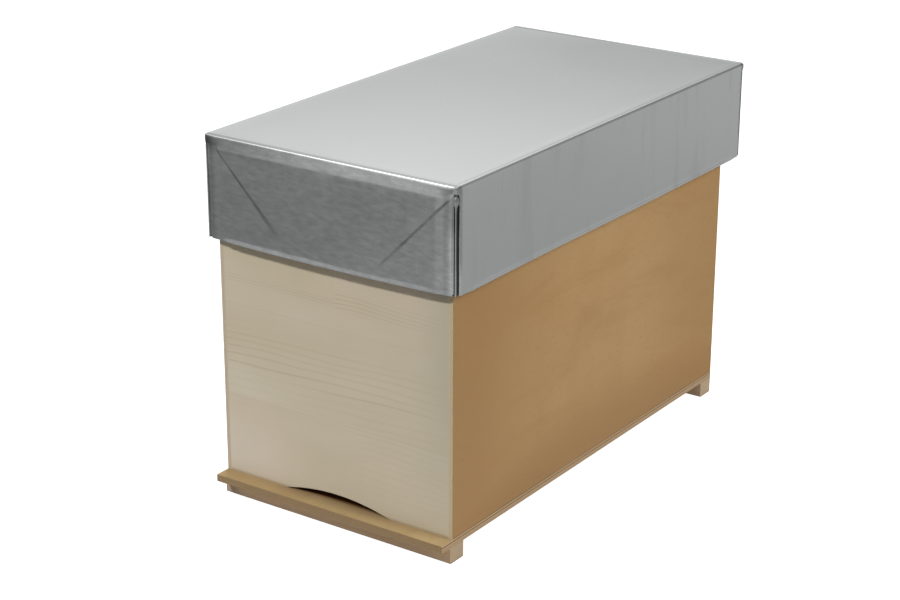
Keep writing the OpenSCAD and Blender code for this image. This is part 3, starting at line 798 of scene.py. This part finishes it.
def ply_finish(name, veneer, axis, low, thick, plies, rim=None, entrance=False):
    """Plywood across one axis: rotary-cut veneer with fibres along the box, light and dark plies on the edges.
    A rim colour is for the sides, which have pale sawn edges; the others have darker ones, with a painted shadow
    along the lowest ply, and a face that is stained and painted with contact shade before the front wall."""
    f = Finish(name, roughness=0.55, specular=0.3)
    place = f.parts()
    run, deep, across = place[Y], place[axis], place[Z - axis]

    band = f.grain(f.times(run, 17.0), f.times(across, 1.6), 0.3, 3.0, 0.55)
    flame = f.grain(f.times(run, 7.0), f.times(across, 34.0), 0.7, 4.0, 0.6, 0.7)
    fleck = f.grain(f.add(f.times(run, 85.0), f.times(across, 40.0)), f.times(across, 520.0), deep, 2.0, 0.6)
    pore = f.grain(f.times(run, 240.0), f.times(across, 1500.0), deep, 2.0, 0.6)
    warm = f.grain(f.times(run, 6.0), f.times(across, 9.0), 2.7, 3.0, 0.6)
    face = f.mix(f.rise(band, 0.32, 0.68),
                 shifted(veneer, (0.97, 0.955, 0.93)), shifted(veneer, (1.025, 1.03, 1.035)))
    face = f.mix(f.times(f.rise(warm, 0.46, 0.74), 0.5), face, shifted(veneer, (0.99, 0.86, 0.72)))
    if rim:
        face = side_tones_and_foot_shadow(f, face, veneer, run, across)
    face = f.mix(f.times(f.rise(flame, 0.45, 0.72), 0.55), face, shifted(veneer, (0.83, 0.76, 0.67)))
    face = f.mix(f.times(f.rise(fleck, 0.55, 0.78), 0.36), face, shifted(veneer, (0.72, 0.64, 0.54)))
    face = f.mix(f.times(f.rise(pore, 0.58, 0.8), 0.22), face, shifted(veneer, (0.66, 0.56, 0.46)))

    layer = f.times(f.math("DIVIDE", f.minus(deep, low), thick), plies)
    odd = f.math("MODULO", f.math("FLOOR", layer), 2.0)
    glue = f.rise(f.absolute(f.minus(f.math("FRACT", layer), 0.5)), 0.40, 0.5)
    grit = f.grain(f.times(run, 420.0), f.times(across, 420.0), f.times(deep, 2600.0), 3.0, 0.7)
    coarse = f.rise(grit, 0.3, 0.7)
    if rim:
        pale, dull, line = rim, shifted(rim, (0.95, 0.92, 0.90)), shifted(rim, (0.82, 0.75, 0.68))
    else:
        pale, dull = shifted(veneer, (1.22, 1.18, 1.36)), shifted(veneer, (0.56, 0.52, 0.52))
        line = shifted(veneer, (0.45, 0.38, 0.34))
        odd = f.times(odd, f.rise(layer, 1.8, 2.8, 0.45, 1.0))
    light = f.mix(coarse, darker(pale, 0.92), darker(pale, 1.06))
    dark = f.mix(coarse, darker(dull, 0.86), darker(dull, 1.1))
    edge = f.mix(f.times(glue, 0.5), f.mix(odd, light, dark), line)
    if not rim:
        # Painted shadow: the bottom of the lowest ply on the floor and cover edges is darkened to the line colour.
        edge = f.mix(f.fall(layer, 0.05, 0.7, 0.7), edge, line)
        sawn = f.mix(coarse, shifted(veneer, (0.58, 0.53, 0.53)), shifted(veneer, (0.78, 0.73, 0.74)))
        edge = f.mix(f.times(f.facing(Y), 0.95), edge, f.mix(f.times(odd, 0.05), sawn, line))
        face = landing_stain_and_shade(f, face, veneer, run, across)
    # Painted shade on the floor just inside the entrance, under the opening in the front wall.
    if entrance:
        inside = f.rise(f.minus(run, WALL_LOW.y), 0.0005, 0.0065)
        inside = f.times(inside, f.fall(f.absolute(across), ENTRANCE_HALF - ENTRANCE_BLUR, ENTRANCE_HALF, 0.9))
        face = f.mix(inside, face, shifted(veneer, (0.24, 0.11, 0.06)))
    f.skin("Base Color", f.mix(f.facing(axis), edge, face))
    f.skin("Roughness", f.add(0.48, f.times(fleck, 0.16)))
    f.bump(f.add(fleck, pore), 0.07, 0.0003)
    return f


def softwood_finish(name, colour, along, rings=260.0):
    """Plain sawn or planed softwood with straight grain along one axis."""
    f = Finish(name, roughness=0.64, specular=0.25)
    place = f.parts()
    run = place[along]
    one, two = (place[axis] for axis in (X, Y, Z) if axis != along)

    def streaks(length, width, detail, roughness):
        return f.grain(f.times(run, length), f.times(one, width), f.times(two, width), detail, roughness)

    sway = streaks(6.0, 22.0, 2.0, 0.5)
    fibre = streaks(30.0, 900.0, 3.0, 0.6)
    end_grain = streaks(60.0, 1400.0, 2.0, 0.7)
    ring = f.add(f.times(f.add(one, f.times(two, 0.8)), rings), f.times(sway, 3.2))
    late = f.ramp(f.math("FRACT", ring), (0.0, 0.1), (0.3, 0.0), (0.8, 0.6), (0.92, 1.0), (1.0, 0.1))
    base = f.mix(f.rise(sway, 0.3, 0.7), darker(colour, 0.92), darker(colour, 1.07))
    base = f.mix(f.times(late, 0.30), base, shifted(colour, (0.72, 0.62, 0.48)))
    base = f.mix(f.times(f.rise(fibre, 0.5, 0.8), 0.22), base, shifted(colour, (0.74, 0.66, 0.55)))
    sawn = f.mix(f.rise(end_grain, 0.3, 0.75),
                 shifted(colour, (0.51, 0.53, 0.52)), shifted(colour, (0.63, 0.68, 0.71)))
    base = f.mix(f.facing(along), base, sawn)
    # Painted shade: the left ends of the pieces that run across the box are darkened and greyed.
    if along == X:
        base = f.mix(f.fall(run, -0.116, -0.098, 0.75), base, shifted(colour, (0.36, 0.40, 0.46)))
    # Painted contact shadow along the bottom, where the pieces stand on the floor.
    f.skin("Base Color", f.mix(f.fall(place[Z], 0.0, 0.0018, 0.6), base, darker(colour, 0.3)))
    f.skin("Roughness", f.add(0.58, f.times(fibre, 0.14)))
    f.bump(fibre, 0.12, 0.0003)
    return f


CELL = 0.0054
CELL_TALL = CELL * math.sqrt(3.0)


def wax_finish(wax):
    """Rolled beeswax with hexagonal cell bases pressed into both faces."""
    f = Finish("beeswax", roughness=0.42, specular=0.4)
    f.skin("Subsurface Weight", 0.25)
    f.skin("Subsurface Radius", (0.004, 0.002, 0.0006))
    place = f.parts()
    flat = f.join(f.add(place[Y], 4.0), f.add(place[Z], 4.0), 0.0)
    near = []
    for shift in (0.0, 0.5):
        spot = f.vector("ADD", flat, (CELL * shift, CELL_TALL * shift, 0.0))
        spot = f.vector("MODULO", spot, (CELL, CELL_TALL, 1.0))
        near.append(f.vector("SUBTRACT", spot, (CELL / 2, CELL_TALL / 2, 0.0)))
    first = f.math("LESS_THAN", f.vector("LENGTH", near[0]), f.vector("LENGTH", near[1]))
    off = f.parts(f.vector("ABSOLUTE", f.mix(first, near[1], near[0], "VECTOR")))
    hexagon = f.most(off[X], f.add(f.times(off[X], 0.5), f.times(off[Y], 0.866)))
    wall = f.rise(hexagon, CELL * 0.36, CELL * 0.49)
    cloud = f.noise(f.place, 30.0, 4.0, 0.6)
    base = f.mix(f.rise(cloud, 0.3, 0.7), shifted(wax, (0.9, 0.86, 0.8)), shifted(wax, (1.08, 1.1, 1.25)))
    f.skin("Base Color", f.mix(f.times(wall, 0.4), base, shifted(wax, (1.15, 1.25, 1.8))))
    f.bump(wall, 0.8, 0.0007)
    return f


def softboard_finish():
    """Pressed wood fibre with a felted surface."""
    f = Finish("softboard", roughness=0.9, specular=0.1)
    fibre = f.noise(f.moved((900.0, 500.0, 900.0)), 1.0, 4.0, 0.7, 0.6)
    cloud = f.noise(f.place, 25.0, 3.0, 0.5)
    base = f.mix(f.rise(fibre, 0.3, 0.7), (0.16, 0.105, 0.055), (0.30, 0.21, 0.12))
    f.skin("Base Color", f.mix(f.times(f.rise(cloud, 0.35, 0.7), 0.3), base, (0.22, 0.15, 0.08)))
    f.bump(fibre, 0.5, 0.0008)
    return f


def bright_steel_finish():
    """Zinc-plated wire, brads and screws with a slightly dull skin."""
    f = Finish("bright_steel", metallic=1.0, roughness=0.36)
    grain = f.noise(f.place, 900.0, 3.0, 0.6)
    f.skin("Base Color", f.mix(f.rise(grain, 0.3, 0.7), (0.42, 0.42, 0.42), (0.60, 0.60, 0.58)))
    f.skin("Roughness", f.add(0.26, f.times(grain, 0.22)))
    return f


class HIVE_OT_finishes(bpy.types.Operator):
    """Gives every node and piece its finish"""
    bl_idname = "hive.finishes"
    bl_label = "Finishes"

    def execute(self, context):
        wood = context.scene.hive_wood
        pieces = bpy.data.objects
        zinc_finish(context.scene.hive_roof).give(
            pieces["roof_skin"], pieces["roof_ears"], "roof_sheet",
            "feed_shutter", "front_rest_rail", "rear_rest_rail")
        spruce_finish("spruce_front", wood, FRONT_GRAIN).give("front_wall")
        spruce_finish("spruce_rear", wood).give("rear_wall")
        side_low, side_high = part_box("left_side")
        side_thick = side_high.x - side_low.x
        left_edge = shifted(wood.edge, (0.96, 0.97, 1.11))
        ply_finish("left_plywood", wood.side, X, side_low.x, side_thick, 3.0, left_edge).give("left_side")
        ply_finish("right_plywood", wood.side, X, -side_high.x, side_thick, 3.0, wood.edge).give("right_side")
        floor_thick = FLOOR_HIGH.z - FLOOR_LOW.z
        ply_finish("floor_plywood", wood.floor, Z, FLOOR_LOW.z, floor_thick, 5.0, entrance=True).give("floor_board")
        cover_low, cover_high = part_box("cover_board")
        cover_thick = cover_high.z - cover_low.z
        cover_veneer = shifted(wood.floor, (1.15, 1.15, 1.2))
        ply_finish("cover_plywood", cover_veneer, Z, cover_low.z, cover_thick, 5.0).give("cover_board")
        softwood_finish("batten_softwood", wood.batten, X).give("front_batten", "rear_batten")
        softwood_finish("cleat_softwood", darker(wood.bars, 0.92), X).give("front_cleat", "rear_cleat")
        upright = softwood_finish("end_bar_wood", wood.bars, Z, 330.0)
        lying = softwood_finish("long_bar_wood", wood.bars, Y, 330.0)
        wax = wax_finish(wood.wax)
        steel = bright_steel_finish()
        for i in range(1, FRAME_COUNT + 1):
            lying.give("frame_%d_top_bar" % i, "frame_%d_bottom_bar" % i)
            upright.give("frame_%d_front_end_bar" % i, "frame_%d_rear_end_bar" % i)
            wax.give("frame_%d_foundation" % i)
            steel.give("frame_%d_wires" % i)
        steel.give(pieces["sunk_brads"], "side_brads", "batten_screws", "rail_tacks", "pivot_screw")
        softboard_finish().give("roof_liner")
        return {"FINISHED"}


# Stage

FLOOR_SIZE = 12.0
FLOOR_DROP, MIRRORED_DROP = 0.0002, 0.0004
BOX_FOOT = (0.0, -0.05, 0.0)
CAMERA_PLACE = (1.0164, -1.5193, 0.8249)
CAMERA_TURN = (69.342, -0.152, 34.866)
SENSOR_WIDTH = 36.0
CAMERA_REACH = 60.0

# What the metal mirrors of the floor, one over the other: middle, reach, soft edge and level.
MIRRORED_REST = 0.50
MIRRORED_SPOTS = (
    ((-0.80, -0.92, 0.0), 0.30, 0.75, 0.19),
    ((0.50, 0.40, 0.0), 0.10, 0.80, 0.40),
    (BOX_FOOT, 0.24, 0.16, 0.80),
)

SKY_SLOPE = (-1.6, 0.0, 3.4)
DULL_SKY = Vector((0.10, 0.79, 0.60)).normalized()
BRIGHT_SKY = Vector((-0.545, -0.15, 0.825)).normalized()
SHADING_SKY = (0.22, 0.22, 0.22)
WHITE = (1.0, 1.0, 1.0)


def floor_material():
    """Pale floor that is nearly shadowless to the eye, and sends most light back close to the box."""
    f = Finish("pale_floor", roughness=0.9, specular=0.1)
    f.skin("Base Color", f.rise(f.vector("DISTANCE", f.place, BOX_FOOT), 0.30, 0.75, 0.50, 0.20))
    f.skin("Emission Color", WHITE)
    seen = f.new("ShaderNodeLightPath").outputs["Is Camera Ray"]
    f.skin("Emission Strength", f.times(seen, 0.92))
    return f.material


def mirrored_floor_material():
    """What the sheet metal mirrors: pale round the box, dark to the front left, grey elsewhere."""
    material = bpy.data.materials.new("mirrored_floor")
    material.use_nodes = True
    material.node_tree.nodes.clear()
    f = Nodes(material.node_tree)
    place = f.new("ShaderNodeTexCoord").outputs["Object"]
    glow = MIRRORED_REST
    for middle, reach, soft, level in MIRRORED_SPOTS:
        near = f.fall(f.vector("DISTANCE", place, middle), reach, reach + soft)
        glow = f.mix(near, glow, level, "FLOAT")
    light = f.new("ShaderNodeEmission")
    f.put(light.inputs["Strength"], glow)
    f.put(f.new("ShaderNodeOutputMaterial").inputs["Surface"], light.outputs[0])
    return material


def studio_world():
    """White all round for the eye, a soft sky for shading and a graded one in the metal."""
    world = bpy.data.worlds.new("studio")
    bpy.context.scene.world = world
    world.use_nodes = True
    world.node_tree.nodes.clear()
    f = Nodes(world.node_tree)
    toward = f.new("ShaderNodeTexCoord").outputs["Generated"]
    slope = f.vector("DOT_PRODUCT", toward, SKY_SLOPE)
    sky = f.times(f.rise(slope, 1.50, 2.25, 0.355, 1.25, "LINEAR"), f.rise(slope, 2.25, 2.90, 1.0, 0.36))
    dull = f.rise(f.vector("DOT_PRODUCT", toward, DULL_SKY), 0.90, 0.97, 1.0, 0.50)
    bright = f.rise(f.vector("DOT_PRODUCT", toward, BRIGHT_SKY), 0.94, 0.99, 0.0, 2.4)
    path = f.new("ShaderNodeLightPath").outputs
    level = f.mix(path["Is Glossy Ray"], SHADING_SKY, f.math("MULTIPLY_ADD", sky, dull, bright))
    glow = f.new("ShaderNodeBackground")
    f.put(glow.inputs["Color"], f.mix(path["Is Camera Ray"], level, WHITE))
    f.put(f.new("ShaderNodeOutputWorld").inputs["Surface"], glow.outputs[0])


def stage_plane(name, drop, material):
    fresh()
    bpy.ops.mesh.primitive_plane_add(size=FLOOR_SIZE, location=(0, 0, -drop))
    plane = bpy.context.object
    plane.name = plane.data.name = name
    plane.data.materials.append(material)
    return plane


def soft_light(name, place, target, size, power):
    """Square lamp that the metal doesn't mirror."""
    fresh()
    bpy.ops.object.light_add(type="AREA", location=place)
    lamp = bpy.context.object
    lamp.name = lamp.data.name = name
    lamp.data.shape = "SQUARE"
    lamp.data.size = size
    lamp.data.energy = power
    lamp.visible_glossy = False
    lamp.rotation_euler = (Vector(target) - Vector(place)).to_track_quat("-Z", "Y").to_euler()


class HIVE_OT_stage(bpy.types.Operator):
    """Sets the pale floor, the soft studio light and the camera"""
    bl_idname = "hive.stage"
    bl_label = "Stage"

    def execute(self, context):
        settings = context.scene.hive_stage
        floor = stage_plane("stage_floor", FLOOR_DROP, floor_material())
        floor.visible_glossy = False
        mirrored = stage_plane("stage_mirrored_floor", MIRRORED_DROP, mirrored_floor_material())
        mirrored.visible_camera = mirrored.visible_diffuse = mirrored.visible_shadow = False
        mirrored.visible_transmission = False
        studio_world()
        soft_light("front_light", (-1.1, -1.9, 2.1), (0, -0.2, 0.2), 0.22, settings.key)
        soft_light("side_light", (2.2, 0.3, 1.5), (0, 0, 0.15), 1.4, settings.fill)
        soft_light("back_light", (-1.1, 2.1, 1.9), (0, 0.1, 0.2), 1.2, settings.back)
        fresh()
        bpy.ops.object.camera_add(location=CAMERA_PLACE, rotation=tuple(math.radians(a) for a in CAMERA_TURN))
        camera = context.object
        camera.name = camera.data.name = "photo_camera"
        camera.data.sensor_width = SENSOR_WIDTH
        camera.data.lens = settings.lens
        camera.data.clip_end = CAMERA_REACH
        context.scene.camera = camera
        context.scene.view_settings.view_transform = "Standard"
        context.scene.view_settings.look = "None"
        return {"FINISHED"}


class HIVE_PT_panel(bpy.types.Panel):
    """Lists the steps that dress the hive box"""
    bl_idname = "HIVE_PT_panel"
    bl_label = "Hive box"
    bl_space_type = "VIEW_3D"
    bl_region_type = "UI"
    bl_category = "Hive box"

    def draw(self, context):
        for step in STEPS:
            self.layout.operator(step.bl_idname)
        for group in (context.scene.hive_roof, context.scene.hive_wood, context.scene.hive_stage):
            box = self.layout.box()
            for name in group.__annotations__:
                box.prop(group, name)


GROUPS = (RoofSettings, WoodSettings, StageSettings)
STEPS = (HIVE_OT_roof, HIVE_OT_brads, HIVE_OT_finishes, HIVE_OT_stage)


def register():
    for group in GROUPS + STEPS + (HIVE_PT_panel,):
        bpy.utils.register_class(group)
    bpy.types.Scene.hive_roof = PointerProperty(type=RoofSettings)
    bpy.types.Scene.hive_wood = PointerProperty(type=WoodSettings)
    bpy.types.Scene.hive_stage = PointerProperty(type=StageSettings)


def unregister():
    del bpy.types.Scene.hive_stage
    del bpy.types.Scene.hive_wood
    del bpy.types.Scene.hive_roof
    for group in reversed(GROUPS + STEPS + (HIVE_PT_panel,)):
        bpy.utils.unregister_class(group)


def main():
    register()
    bpy.ops.hive.roof()
    bpy.ops.hive.brads()
    bpy.ops.hive.finishes()
    bpy.ops.hive.stage()
    bpy.context.view_layer.update()


if __name__ == "__main__":
    main()
